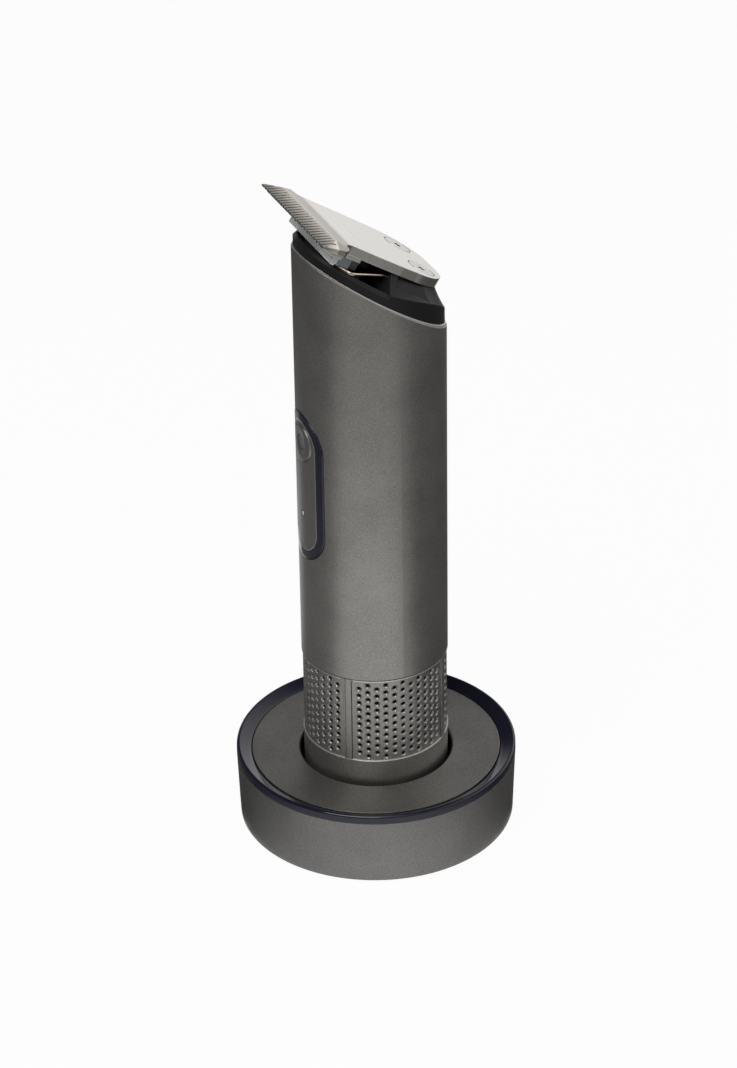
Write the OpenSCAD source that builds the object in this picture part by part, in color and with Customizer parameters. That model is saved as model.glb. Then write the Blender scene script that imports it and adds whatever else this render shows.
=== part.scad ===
// Cordless trimmer with a T-shaped blade, standing in a round charging dock.
// Millimetres, +Z up, floor at z = 0, trimmer axis on the Z axis, teeth and button toward -Y.

/* [Trimmer body] */
// outer diameter of the straight round body
body_d = 38; // [37.5:0.5:46]
// wall of the painted metal sleeve
body_wall = 1.4; // [1.2:0.1:1.7]
// height of the middle of the slanted rim above the floor
rim_z = 154; // [154:1:190]
// slope of the rim and of the blade, degrees from level
tilt = 32.6; // [27:0.2:34]
// depth of the bare metal edge turned on the rim
rim_edge = 0.5; // [0.3:0.1:0.8]
// height of the trimmer's bottom above the floor when docked
tail_z = 8; // [8:0.5:10]

/* [Perforated grip] */
// lower edge of the perforated band
grille_z = 25.4; // [24:0.2:27]
// height of the perforated band
grille_h = 24.8; // [22:0.2:30]
// thickness of the perforated skin
grille_skin_t = 1.2; // [1:0.1:1.3]
// depth by which each perforated field lies below the skin's rims
field_drop = 0.3; // [0.2:0.05:0.4]
// angle of the plain strip between two fields
strip_deg = 6.4; // [4:0.2:10]
// diameter of one hole
hole_d = 1.25; // [0.8:0.05:1.5]
// width of the countersink round each hole
hole_lip = 0.25; // [0.1:0.05:0.3]
// hole spacing up the body
hole_pitch = 2.15; // [1.9:0.05:2.15]
// angle between neighbouring columns of holes
column_deg = 7.15; // [6.6:0.05:7.3]

/* [Control panel] */
// height of the lowest point of the panel's trim ring
panel_z = 81; // [78:0.5:84]
// overall length of the trim ring
panel_len = 41; // [38:0.5:41]
// overall width of the trim ring
panel_w = 17.6; // [16:0.2:18]
// width of the gloss trim ring itself
panel_ring = 2.6; // [2.2:0.05:2.8]
// gap between the trim ring and the sleeve
panel_gap = 0.2; // [0.05:0.05:0.3]
// diameter of the power button
button_d = 9.8; // [8.4:0.1:10]
// height of the button's centre
button_z = 113.7; // [112:0.1:115]
// travel of the button
button_travel = 0.6; // [0.3:0.1:0.6]
// height by which the button stands proud of the panel
button_crown = 0.25; // [0:0.05:0.3]
// depth of the finger dish in the button
button_dish = 0.3; // [0.1:0.05:0.4]
// clearance all round the button in its hole
button_fit = 0.1; // [0.05:0.01:0.1]
// height of the indicator window
light_z = 93.4; // [88:0.2:98]
// diameter of the indicator window
light_d = 1.3; // [1:0.1:2]

/* [Blade set] */
// width across the toothed edge of the T-blade
blade_w = 39.4; // [36:0.2:40]
// length of the fixed blade, tooth tips to rear edge
blade_len = 41.8; // [40:0.2:44]
// thickness of the fixed blade
blade_t = 2.4; // [1.8:0.1:2.6]
// width of the blade behind the T-arms
blade_body_w = 29.4; // [28:0.2:31]
// radius of the round notch behind each T-arm
notch_r = 3.2; // [1:0.2:3.6]
// radius of the blade's rear corners
rear_r = 11; // [8:0.5:13]
// reach of the tooth tips ahead of the middle of the rim, along the slope
blade_reach = 28.5; // [27.5:0.1:29]
// height of the blade's underside above the rim, square to the slope
head_h = 7.5; // [7.2:0.1:9]
// spacing of the fixed teeth
tooth_pitch = 1.5; // [1.2:0.05:1.8]
// width of one gap between fixed teeth
tooth_gap = 0.6; // [0.3:0.02:0.8]
// length of the ground tooth bevel
tooth_len = 4.2; // [3.4:0.1:5]
// thickness left at the tooth tips
tip_t = 0.35; // [0.25:0.05:0.6]
// width of the hollow-ground band behind the teeth
grind_w = 5; // [3:0.2:6]
// depth of the hollow grinding
grind_d = 0.15; // [0.05:0.05:0.25]
// width across the moving cutter's teeth
cutter_w = 35; // [30:0.5:36]
// thickness of the moving cutter
cutter_t = 1.2; // [1:0.1:1.4]
// spacing of the moving cutter's teeth
cutter_pitch = 1.9; // [1.6:0.1:2.4]
// half of the cutter's stroke, also the throw of the crank pin
throw = 1; // [0.6:0.1:1.1]
// gap between the cutter and the fixed blade
cutter_gap = 0.04; // [0.02:0.01:0.08]
// diameter of the blade screw heads
blade_screw_d = 7; // [5.5:0.1:7.4]
// wire of the tension spring
wire_d = 0.9; // [0.7:0.05:1]

/* [Head] */
// height of the black collar above the rim, square to the slope
collar_h = 2.9; // [2.5:0.1:3.2]
// set-back of the collar from the body's surface
collar_in = 0.5; // [0.4:0.1:0.7]
// height of the sloped lip round the top of the collar
lip_h = 1; // [0.6:0.1:1.2]
// height at which the flared pedestal meets the collar's wall
ped_low = 2.4; // [1.8:0.1:2.8]

/* [Drive] */
// distance of the motor axis from the body axis, toward the button
motor_off = 6; // [5.6:0.1:6.6]
// long diameter of the motor can
motor_d = 20.4; // [18:0.2:20.6]
// width of the motor can across its flats
motor_flat = 15.4; // [14:0.2:16]
// length of the motor can
motor_len = 23.6; // [20:0.2:24]
// diameter of the crank pin
pin_d = 2; // [1.6:0.1:2.2]
// play left beside the crank pin in the carrier's fork
fork_play = 0.15; // [0.1:0.05:0.3]

/* [Battery] */
// diameter of the round cell
cell_d = 18.4; // [14:0.1:18.6]
// length of the round cell
cell_len = 65; // [50:0.5:65]

/* [Dock] */
// largest diameter of the dock
dock_d = 73.5; // [70:0.5:90]
// overall height of the dock
dock_h = 20.2; // [20:0.2:24]
// inward draft of the dock's side at the bottom
dock_draft = 0.6; // [0.2:0.1:1]
// width of the gloss ring on the dock
dock_ring_w = 3.9; // [3:0.1:4.2]
// depth of the deck below the ring's crest
deck_drop = 1.1; // [0.8:0.1:1.4]
// clearance of the trimmer in the dock's socket
socket_fit = 0.9; // [0.5:0.1:1.2]
// distance between the two charging contacts
contact_pitch = 12; // [10:0.5:14]
// travel of the sprung charging pins
pin_travel = 0.6; // [0.3:0.1:0.6]

/* [Hidden] */
$fn = 96;
e = 0.02;
body_r = body_d / 2;
inner_r = body_r - body_wall;
far = 60;

// slanted head frame: x across, v down the slope to the rear, w square to the slope
deck_w = 0.8;
deck_low = -1.6;
plug_low = -5.5;
collar_r = body_r - collar_in;
ped_v = -4.5;
ped_half = blade_body_w / 2 - 0.6;
ped_rear = blade_len - blade_reach - 0.4;
ped_corner_r = rear_r - 0.5;
ped_corner_x = ped_half - ped_corner_r - 0.6;
tip_v = -blade_reach;
notch_s = 7.2;
arm_r = 1;
screw_s = 34.9;
screw_x = 7.4;

// drive
motor_y = -motor_off;
motor_top = rim_z - 10.5;
plate_t = 2.5;
pin_top = slope_z(motor_y, 5.2);
hub_top = slope_z(motor_y, deck_w) - 2.2;
hub_h = 4.4;
hub_r = 3.2;
drive_r = 5.2;
shaft_r = 1;
motor_screw_x = 6.5;
post_x = 11.2;
post_y = -7;
post_r = 2.4;
post_top = slope_z(post_y + 3, deck_low) - 0.1;
seat_z = post_top + 3;
fork_half = pin_d / 2 + 2 * throw + fork_play;

// carrier and spring, heights below the fixed blade
carrier_top = head_h - cutter_gap - cutter_t;
carrier_w = head_h - 3.6;
carrier_half = 13.3;
carrier_s = 8.2;
carrier_end = 15.5;
stud_x = 8;
stud_s = 11.5;
stud_r = 1.2;
wire_w = carrier_w - wire_d / 2 - 0.03;
leg_x = 12.4;
leg_w = head_h - 1.6;

// control panel
panel_mid = panel_z + panel_len / 2;
inner_w = panel_w - 2 * panel_ring;
inner_len = panel_len - 2 * panel_ring;
board_y = -inner_r + 6.2;
board_t = 1.5;
board_z0 = panel_z - 5;
board_w = 21;
switch_y = board_y - 2;
stem_y = switch_y - 0.6;
plunger_r = 1.5;
board_screw_x = 8.4;

// inner frame
skin_in = body_r - grille_skin_t;
liner_in = skin_in - 1.6;
frame_fit = 0.1;
spine_r = liner_in - frame_fit;
floor_z = 46.6;
disc_t = 3.4;
mid_z = 78;
tab_t = 0.3;
cell_y = 4.5;
cell_z = floor_z + disc_t + tab_t;
bulk_z = cell_z + cell_len;
board_z1 = bulk_z + disc_t - 0.1;
field_z0 = grille_z + 0.5;
field_z1 = grille_z + grille_h - 0.4;
field_gap = 0.3;
board_screw_z = [mid_z + disc_t / 2, bulk_z + disc_t / 2 - 0.4];
cap_top = grille_z;
lip_top = cap_top + 2.8;
tail_disc_z = lip_top + 0.2;
tail_screw_y = 11;

// dock
dock_r = dock_d / 2;
foot_h = 0.6;
shell_top = dock_h - 1.8;
deck_z = dock_h - deck_drop;
deck_t = 1.7;
deck_r = dock_r - dock_ring_w - 0.25;
socket_r = body_r + socket_fit;
cup_r = socket_r + 1.5;
cup_t = 1.6;
dock_board_z = tail_z - 5;
dock_board_t = 1.2;
dock_board_top = dock_board_z + dock_board_t;
cup_low = tail_z - cup_t;
boss_r = dock_r - 9.2;
base_z = foot_h + 0.3;
base_t = 1.6;
inlet_y = dock_r - 8.4;
inlet_half = 2.84;
inlet_r = 1.63;
pad_drop = 0.25;

// one node by name, or all of them

// height of the plane w of the head frame above a given depth y
function slope_z(y, w) = rim_z - y * tan(tilt) + w / cos(tilt);

// places children in the slanted head frame, at the middle of the rim
module slope() {
  translate([0, 0, rim_z]) rotate([-tilt, 0, 0]) children();
}

// slab of the head frame between two heights
module slab(w0, w1) {
  slope() translate([-4 * far, -4 * far, w0]) cube([8 * far, 8 * far, w1 - w0]);
}

// upright tube
module tube(r_out, r_in, z0, z1) {
  translate([0, 0, z0]) difference() {
    cylinder(r = r_out, h = z1 - z0);
    translate([0, 0, -1]) cylinder(r = r_in, h = z1 - z0 + 2);
  }
}

// prism with rounded ends standing on the front, reaching from depth y0 to y1
module oblong(w, len, y0, y1) {
  r = w / 2;
  translate([0, y1, panel_mid]) rotate([90, 0, 0]) linear_extrude(y1 - y0) {
    square([w, len - w], center = true);
    translate([0, (len - w) / 2]) circle(r);
    translate([0, (w - len) / 2]) circle(r);
  }
}

// round bar along the y axis
module ybar(r, y0, y1, x = 0, z = 0) {
  translate([x, y1, z]) rotate([90, 0, 0]) cylinder(r = r, h = y1 - y0);
}

// cross recess of a screw head, cut down from z = 0
module cross(size, depth) {
  translate([-size / 2, -size / 6, -depth]) cube([size, size / 3, depth + 1]);
  translate([-size / 6, -size / 2, -depth]) cube([size / 3, size, depth + 1]);
}

// pan screw standing on z = 0, head up, shank down
module screw(head_r, head_h, shank_r, len) {
  difference() {
    union() {
      cylinder(r = head_r, h = head_h);
      translate([0, 0, -len]) cylinder(r = shank_r, h = len + e);
    }
    translate([0, 0, head_h]) cross(head_r * 1.2, head_h * 0.55);
  }
}

// painted metal sleeve, cut on the slant at the top, with a slot for the control panel
module body_sleeve() {
  color([0.30, 0.29, 0.28]) difference() {
    tube(body_r, inner_r, grille_z + grille_h + 0.2, rim_z + far / 2);
    slab(0, 2 * far);
    difference() {
      slab(-rim_edge, 1);
      cylinder(r = body_r - 0.25, h = rim_z + far);
    }
    oblong(panel_w + 2 * panel_gap, panel_len + 2 * panel_gap, -body_r - 2, -body_r / 2);
  }
}

// plain rims and upright strips of the grip, with four windows
module grille_frame() {
  field = 90 - strip_deg;
  color([0.33, 0.32, 0.31]) difference() {
    rotate([0, 0, 45]) tube(body_r, skin_in, grille_z, grille_z + grille_h);
    for (k = [0:3]) rotate([0, 0, 90 * k - 90 - field / 2]) rotate_extrude(angle = field)
      translate([skin_in - 1, field_z0]) square([3, field_z1 - field_z0]);
    for (k = [0:3]) rotate([0, 0, 90 * k + 43.4]) translate([-0.12, -body_r - 1, grille_z - 1])
      cube([0.24, 1.2, grille_h + 2]);
  }
}

// four perforated fields sunk in the windows, columns of holes staggered by half a pitch
module grille_fields() {
  field = 90 - strip_deg - 2 * field_gap;
  mid = (field_z0 + field_z1) / 2;
  r = hole_d / 2;
  deep = body_r - field_drop - hole_lip - skin_in + 1;
  color([0.33, 0.32, 0.31]) for (k = [0:3]) rotate([0, 0, 90 * k]) difference() {
    rotate([0, 0, -90 - field / 2]) rotate_extrude(angle = field)
      translate([skin_in, field_z0]) square([body_r - field_drop - skin_in, field_z1 - field_z0]);
    for (i = [0:10], j = [0:9 + i % 2]) rotate([0, 0, (i - 5) * column_deg])
      translate([0, 1 - skin_in, mid + (j - (9 + i % 2) / 2) * hole_pitch]) rotate([90, 0, 0])
        rotate_extrude($fn = 24) polygon([[0, 0], [r, 0], [r, deep],
          [r + 2 * hole_lip, deep + 2 * hole_lip], [0, deep + 2 * hole_lip]]);
  }
}

// black plastic tube that carries the perforated skin and plugs into the sleeve
module grille_liner() {
  z1 = grille_z + grille_h;
  color([0.05, 0.05, 0.05]) {
    tube(skin_in, liner_in, grille_z, z1 + 0.2);
    tube(inner_r, liner_in, z1, z1 + 4);
  }
}

// closing cap that stands in the dock
module tail_cap() {
  r = body_r - 0.1;
  color([0.28, 0.27, 0.26]) difference() {
    union() {
      difference() {
        rotate_extrude() polygon([[0, tail_z], [r - 1, tail_z], [r, tail_z + 1], [r, cap_top],
          [liner_in - 0.05, cap_top], [liner_in - 0.05, lip_top], [0, lip_top]]);
        translate([0, 0, tail_z + 2]) cylinder(r = liner_in - 1.05, h = far);
      }
      for (s = [-1, 1]) translate([0, s * tail_screw_y, tail_z + 1])
        cylinder(r = 2.8, h = tail_disc_z - tail_z - 1);
    }
    for (s = [-1, 1]) {
      translate([0, s * tail_screw_y, tail_z - 1]) cylinder(r = 1.05, h = far);
      translate([0, s * tail_screw_y, tail_z - 1]) cylinder(r = 2.1, h = 3.4);
      translate([s * contact_pitch / 2, 0, tail_z - 1]) cylinder(r = 2.6, h = 4);
    }
  }
}

// two plated charging contacts in the floor of the cap
module tail_contacts() {
  color([0.83, 0.80, 0.72]) for (s = [-1, 1]) translate([s * contact_pitch / 2, 0, 0]) {
    translate([0, 0, tail_z + pad_drop]) cylinder(r = 2.6, h = 2);
    translate([0, 0, tail_z + 2]) cylinder(r = 3.6, h = 0.6);
  }
}

// two screws that draw the cap to the inner frame
module tail_screws() {
  color([0.55, 0.55, 0.56]) for (s = [-1, 1]) translate([0, s * tail_screw_y, tail_z + 2.4])
    mirror([0, 0, 1]) screw(2, 1.4, 1.05, tail_disc_z - tail_z + 0.6);
}

// inner frame: rear spine with five discs, posts up to the head
module inner_frame() {
  hi_r = inner_r - 0.1;
  color([0.16, 0.16, 0.17]) difference() {
    union() {
      intersection() {
        union() {
          intersection() {
            tube(spine_r, spine_r - 1.4, tail_disc_z, motor_top + plate_t);
            translate([-far, 8, 0]) cube([2 * far, far, rim_z + far]);
          }
          translate([0, 0, tail_disc_z]) cylinder(r = spine_r, h = disc_t);
          translate([0, 0, floor_z]) cylinder(r = spine_r, h = disc_t);
          translate([0, 0, mid_z]) cylinder(r = hi_r, h = disc_t);
          translate([0, 0, bulk_z]) cylinder(r = hi_r, h = disc_t);
          translate([0, 0, motor_top]) cylinder(r = hi_r, h = plate_t);
          for (s = [-1, 1]) translate([s * (motor_d / 2 + 1.6) - 1, motor_y - 3, bulk_z])
            cube([2, 9, motor_top - bulk_z + e]);
        }
        slab(-3 * far, plug_low - 0.2);
      }
      for (s = [-1, 1]) translate([s * post_x, post_y, motor_top])
        cylinder(r = post_r, h = post_top - motor_top);
    }
    // the circuit board stands in front of the middle discs
    translate([-far, -far, floor_z + disc_t])
      cube([2 * far, far + board_y + board_t, bulk_z - floor_z + e]);
    translate([0, cell_y, cell_z - tab_t]) cylinder(d = cell_d, h = bulk_z - cell_z + tab_t);
    translate([0, motor_y, motor_top - 1]) cylinder(r = 3.1, h = plate_t + 2);
    for (s = [-1, 1]) {
      translate([s * motor_screw_x, motor_y, motor_top - 1]) cylinder(r = 0.85, h = plate_t + 2);
      translate([s * post_x, post_y, post_top - 7]) cylinder(r = 0.95, h = 8);
      translate([0, s * tail_screw_y, tail_disc_z - 1]) cylinder(r = 1.05, h = disc_t + 2);
      for (z = board_screw_z) ybar(0.8, board_y - 1, board_y + 6, s * board_screw_x, z);
    }
  }
}

// round rechargeable cell with its raised button end
module battery_cell() {
  color([0.10, 0.32, 0.55]) translate([0, cell_y, cell_z]) {
    cylinder(d = cell_d, h = cell_len - 1);
    translate([0, 0, cell_len - 1 - e]) cylinder(r = 3, h = 1 - tab_t + e);
  }
}

// welded nickel tabs at both ends of the cell
module battery_tabs() {
  color([0.75, 0.75, 0.72]) {
    translate([-3, cell_y - 8, cell_z - tab_t]) cube([6, 13, tab_t]);
    translate([-2.5, cell_y - 8, cell_z + cell_len - tab_t]) cube([5, 10, tab_t]);
  }
}

// circuit board behind the control panel
module main_board() {
  color([0.05, 0.25, 0.16]) difference() {
    translate([-board_w / 2, board_y, board_z0]) cube([board_w, board_t, board_z1 - board_z0]);
    for (s = [-1, 1], z = board_screw_z) ybar(0.9, board_y - 1, board_y + 3, s * board_screw_x, z);
  }
}

// four small screws that hold the board
module board_screws() {
  color([0.60, 0.60, 0.61]) for (s = [-1, 1], z = board_screw_z)
    translate([s * board_screw_x, board_y, z]) rotate([90, 0, 0]) screw(1.6, 1.1, 0.8, 6);
}

// push switch body on the board, with a blind guide for its plunger
module tact_switch() {
  color([0.12, 0.12, 0.12]) difference() {
    translate([-3, switch_y, button_z - 3]) cube([6, board_y - switch_y, 6]);
    ybar(plunger_r + button_fit, switch_y - 1, board_y - 0.3, 0, button_z);
  }
}

// plunger of the switch, under the stem of the button
module switch_plunger() {
  color([0.75, 0.75, 0.73]) ybar(plunger_r, stem_y, board_y - 0.35 - button_travel, 0, button_z);
}

// indicator lamp on the board
module indicator_led() {
  color([0.90, 0.90, 0.80]) translate([-0.8, board_y - 0.8, light_z - 0.8]) cube([1.6, 0.8, 1.6]);
}

// clear rod that leads the lamp's light to the panel
module light_guide() {
  color([0.85, 0.88, 0.90]) {
    intersection() {
      ybar(light_d / 2, -body_r - 1, board_y - 0.8, 0, light_z);
      cylinder(r = body_r - 0.05, h = rim_z);
    }
    ybar(light_d / 2 + 0.5, -body_r + 3.2, board_y - 0.8, 0, light_z);
  }
}

// gloss trim ring round the panel, held behind the sleeve by a flange
module panel_trim_ring() {
  face = body_r + 0.12;
  mid = inner_r - 0.4;
  color([0.05, 0.06, 0.14]) {
    intersection() {
      tube(face, mid, panel_z - 5, panel_z + panel_len + 5);
      difference() {
        oblong(panel_w, panel_len, -far, 0);
        oblong(inner_w + 0.06, inner_len + 0.06, -far, 1);
      }
    }
    intersection() {
      tube(inner_r, inner_r - 1, panel_z - 5, panel_z + panel_len + 5);
      difference() {
        oblong(panel_w + 2.4, panel_len + 2.4, -far, 0);
        oblong(panel_w - 1.6, panel_len - 1.6, -far, 1);
      }
    }
  }
}

// control panel inside the ring, with holes for the button and the indicator
module control_panel() {
  mid = inner_r - 0.4;
  color([0.27, 0.26, 0.25]) difference() {
    union() {
      intersection() {
        tube(body_r, mid - 0.6, panel_z, panel_z + panel_len);
        oblong(inner_w, inner_len, -far, 0);
      }
      intersection() {
        tube(mid, mid - 0.6, panel_z - 5, panel_z + panel_len + 5);
        oblong(panel_w - 1.8, panel_len - 1.8, -far, 0);
      }
    }
    ybar(button_d / 2 + button_fit, -far, 0, 0, button_z);
    ybar(light_d / 2, -far, 0, 0, light_z);
  }
}

// power button: raised cap with a shallow finger dish, retaining flange and stem
module power_button() {
  dish_r = 24;
  face = body_r + button_crown;
  flange_y = -sqrt(pow(inner_r - 1, 2) - pow(button_d / 2 + 0.8, 2)) + 0.15;
  color([0.26, 0.25, 0.24]) {
    difference() {
      intersection() {
        ybar(button_d / 2, -far, flange_y + e, 0, button_z);
        cylinder(r = face, h = rim_z);
      }
      translate([0, button_dish - face - dish_r, button_z]) sphere(r = dish_r);
    }
    ybar(button_d / 2 + 0.8, flange_y, flange_y + 0.7, 0, button_z);
    ybar(1.4, flange_y + 0.5, stem_y, 0, button_z);
  }
}

// motor can with flats and end bosses
module motor_can() {
  color([0.62, 0.63, 0.65]) difference() {
    union() {
      translate([0, motor_y, motor_top - motor_len]) intersection() {
        cylinder(d = motor_d, h = motor_len);
        translate([-motor_d, -motor_flat / 2, -1]) cube([2 * motor_d, motor_flat, motor_len + 2]);
      }
      translate([0, motor_y, motor_top - e]) cylinder(r = 3, h = 1.6);
    }
    translate([0, motor_y, motor_top - motor_len + 2]) cylinder(r = shaft_r + 0.06, h = far);
    for (s = [-1, 1]) translate([s * motor_screw_x, motor_y, motor_top - 3]) cylinder(r = 0.85, h = 5);
  }
}

// two screws that hold the motor under its plate
module motor_screws() {
  color([0.60, 0.60, 0.61]) for (s = [-1, 1])
    translate([s * motor_screw_x, motor_y, motor_top + plate_t]) screw(1.7, 1.1, 0.85, plate_t + 2.4);
}

// motor shaft
module motor_shaft() {
  color([0.75, 0.76, 0.78]) translate([0, motor_y, motor_top - motor_len + 2.1])
    cylinder(r = shaft_r, h = hub_top - 0.6 - motor_top + motor_len - 2.1);
}

// crank hub pressed on the shaft, with its offset pin
module crank_hub() {
  color([0.86, 0.86, 0.84]) difference() {
    union() {
      translate([0, motor_y, hub_top - hub_h]) cylinder(r = hub_r, h = hub_h);
      translate([0, motor_y - throw, hub_top - e]) cylinder(d = pin_d, h = pin_top - hub_top);
    }
    translate([0, motor_y, hub_top - hub_h - 1]) cylinder(r = shaft_r, h = hub_h + 0.4);
  }
}

// right circular cone through the ellipse in which the plane at height w cuts the upright cylinder
// of radius r; its apex lies on the focal hyperbola of that ellipse, at height h above it
module lip_cone(r, w, h) {
  c = r * tan(tilt);
  apex_v = -c * sqrt(1 + h * h / (r * r));
  lean = atan2(h / (r * r), -apex_v / (c * c));
  half_angle = atan2(r / cos(tilt) - apex_v, h) - lean;
  len = 4 * r;
  slope() translate([0, apex_v - w * tan(tilt), w + h]) rotate([lean, 0, 0])
    translate([0, 0, -len]) cylinder(r1 = len * tan(half_angle), r2 = 0, h = len);
}

// round column under the blade that widens from r0 at the top to r1 at the collar
module flare(x, v, r0, r1) {
  steps = 6;
  slope() translate([x, v, 0]) rotate_extrude() polygon(concat([[0, 0], [r1, 0]],
    [for (k = [steps:-1:0]) let (t = k / steps)
      [r0 + (r1 - r0) * (0.65 + 0.35 * t) * t, head_h - (head_h - ped_low) * t]],
    [[0, head_h]]));
}

// black head frame: collar on the rim, plug inside the sleeve, deck and flared pedestal
module head_frame() {
  dent = 1.2;
  color([0.06, 0.06, 0.065]) difference() {
    union() {
      intersection() {
        cylinder(r = collar_r, h = rim_z + far);
        slab(0, collar_h);
        lip_cone(collar_r, collar_h - lip_h, body_r);
      }
      intersection() {
        cylinder(r = inner_r - 0.03, h = rim_z + far);
        slab(plug_low, deck_w / 2);
      }
      intersection() {
        cylinder(r = collar_r, h = rim_z + far);
        union() {
          flare(0, ped_rear - ped_half, ped_half, body_r + 0.3);
          for (s = [-1, 1])
            flare(s * ped_corner_x, ped_rear - ped_corner_r, ped_corner_r, body_r - 1.2);
        }
        slope() translate([-far, ped_v, 0]) cube([2 * far, far, head_h]);
      }
    }
    // hollow of the plug under the deck
    difference() {
      intersection() {
        cylinder(r = inner_r - 1.4, h = rim_z + far);
        slab(plug_low - 1, deck_low);
      }
      for (s = [-1, 1]) translate([s * post_x, post_y, post_top]) cylinder(r = 3, h = far);
    }
    // well in front of the pedestal, inside the collar's lip
    intersection() {
      cylinder(r = inner_r - 0.3, h = rim_z + far);
      slope() translate([-far, -far, deck_w]) cube([2 * far, far + ped_v, far]);
    }
    translate([0, motor_y, 0]) cylinder(r = drive_r, h = rim_z + far);
    for (s = [-1, 1]) {
      translate([s * post_x, post_y, seat_z]) cylinder(r = 2.2, h = far);
      translate([s * post_x, post_y, 0]) cylinder(r = 1, h = rim_z + far);
      slope() translate([s * screw_x, tip_v + screw_s, -1.2]) cylinder(r = 1.3, h = far);
      slope() translate([s * leg_x, ped_v - 1, leg_w]) rotate([-90, 0, 0])
        cylinder(d = wire_d + 0.02, h = 6.1);
    }
    // shallow dent in each side of the pedestal, along the flare
    for (s = [0, 1]) mirror([s, 0, 0]) slope() translate([ped_half - dent, ped_v + 1.8, head_h])
      rotate([0, 45, 0]) translate([-6, 0, 0]) cube([10.2, 10.4, 6]);
  }
}

// two screws from the deck down into the frame's posts
module head_screws() {
  color([0.72, 0.60, 0.36]) for (s = [-1, 1]) translate([s * post_x, post_y, seat_z])
    screw(2, 1.3, 0.95, 9.6);
}

// outline of the fixed blade, tips on y = 0, rear at y = blade_len
module blade_outline() {
  h = blade_body_w / 2;
  taper = 0.8;
  c = h - taper - rear_r;
  difference() {
    union() {
      translate([-blade_w / 2, 0]) square([blade_w, notch_s - arm_r]);
      translate([arm_r - blade_w / 2, 0]) square([blade_w - 2 * arm_r, notch_s]);
      polygon([[-h - notch_r, notch_s - 1], [h + notch_r, notch_s - 1],
        [h + notch_r, notch_s + notch_r], [h, notch_s + notch_r], [h, 19],
        [h - 0.3, 26], [h - taper, blade_len - rear_r], [taper - h, blade_len - rear_r],
        [0.3 - h, 26], [-h, 19], [-h, notch_s + notch_r], [-h - notch_r, notch_s + notch_r]]);
      translate([-c, blade_len - rear_r]) square([2 * c, rear_r]);
      for (s = [-1, 1]) {
        translate([s * (blade_w / 2 - arm_r), notch_s - arm_r]) circle(arm_r);
        translate([s * c, blade_len - rear_r]) circle(rear_r);
      }
    }
    for (s = [-1, 1]) translate([s * (h + notch_r), notch_s + notch_r]) circle(notch_r);
  }
}

// fixed T-blade: ground tooth bevel, hollow-ground band, bevelled arm ends, slots between the teeth
module fixed_blade() {
  teeth = floor((blade_w / 2 - 1.4) / tooth_pitch);
  ang = atan((blade_t - tip_t) / tooth_len);
  wheel_r = (grind_w * grind_w / 4 + grind_d * grind_d) / (2 * grind_d);
  color([0.80, 0.79, 0.77]) slope() translate([0, tip_v, head_h]) difference() {
    linear_extrude(blade_t) blade_outline();
    translate([-far, 0, tip_t]) rotate([ang, 0, 0]) translate([0, -10, 0])
      cube([2 * far, 10 + tooth_len / cos(ang), 6]);
    translate([-far, tooth_len + grind_w / 2 + 0.3, blade_t - grind_d + wheel_r])
      rotate([0, 90, 0]) cylinder(r = wheel_r, h = 2 * far);
    for (s = [0, 1]) mirror([s, 0, 0]) translate([blade_w / 2 - 3.4, tooth_len - 0.4, blade_t])
      rotate([9.3, 19.3, 0]) translate([-12, -12, 0]) cube([24, 24, 6]);
    for (i = [-teeth:teeth]) translate([i * tooth_pitch - tooth_gap / 2, -1, -1])
      cube([tooth_gap, tooth_len + 0.5, 4]);
    for (s = [-1, 1]) translate([s * screw_x, screw_s, -1]) {
      cylinder(r = 1.3, h = 5);
      translate([0, 0, 1 + blade_t - 0.3]) cylinder(d = blade_screw_d + 0.5, h = 4);
    }
  }
}

// two flush screws of the fixed blade
module blade_screws() {
  color([0.74, 0.73, 0.71]) slope() translate([0, tip_v + screw_s, head_h + blade_t])
    for (s = [-1, 1]) translate([s * screw_x, 0, 0]) difference() {
      union() {
        translate([0, 0, -0.3]) cylinder(d = blade_screw_d, h = 0.3);
        translate([0, 0, -8.5]) cylinder(r = 1.3, h = 8.3);
      }
      cross(2.2, 0.9);
    }
}

// moving cutter under the fixed blade, its own teeth a little behind the tips
module cutter_blade() {
  n = floor((cutter_w / 2 - 0.9) / cutter_pitch);
  color([0.66, 0.67, 0.68]) slope() translate([0, tip_v, carrier_top]) difference() {
    linear_extrude(cutter_t) {
      translate([-cutter_w / 2, 0.9]) square([cutter_w, 6.6]);
      translate([-carrier_half, 7]) square([2 * carrier_half, carrier_end - 7.4]);
    }
    translate([-far, 0.9, cutter_t - 0.35]) rotate([-14, 0, 0]) translate([0, -6, -6])
      cube([2 * far, 10, 6]);
    for (i = [-n:n]) translate([i * cutter_pitch - 0.45, -1, -1]) cube([0.9, 5.2, 4]);
    for (s = [-1, 1]) translate([s * stud_x, stud_s, -1]) cylinder(r = stud_r, h = 4);
  }
}

// carrier under the cutter: bar with two studs and the fork for the crank pin
module cutter_carrier() {
  top = carrier_top - carrier_w;
  color([0.58, 0.62, 0.64]) slope() translate([0, tip_v, carrier_w]) difference() {
    union() {
      translate([-carrier_half, carrier_s, 0]) cube([2 * carrier_half, 4.6, top]);
      translate([1 - carrier_half, carrier_s + 4, 0])
        cube([2 * carrier_half - 2, carrier_end - carrier_s - 4, top]);
      for (s = [-1, 1]) {
        translate([s * (fork_half + 1.1) - 1.1, carrier_end - 1, 0]) cube([2.2, 8, top - 0.1]);
        translate([s * stud_x, stud_s, top - e]) cylinder(r = stud_r, h = cutter_t - 0.2);
      }
    }
    translate([-fork_half, carrier_end - 0.4, -1]) cube([2 * fork_half, far, far]);
  }
}

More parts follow.
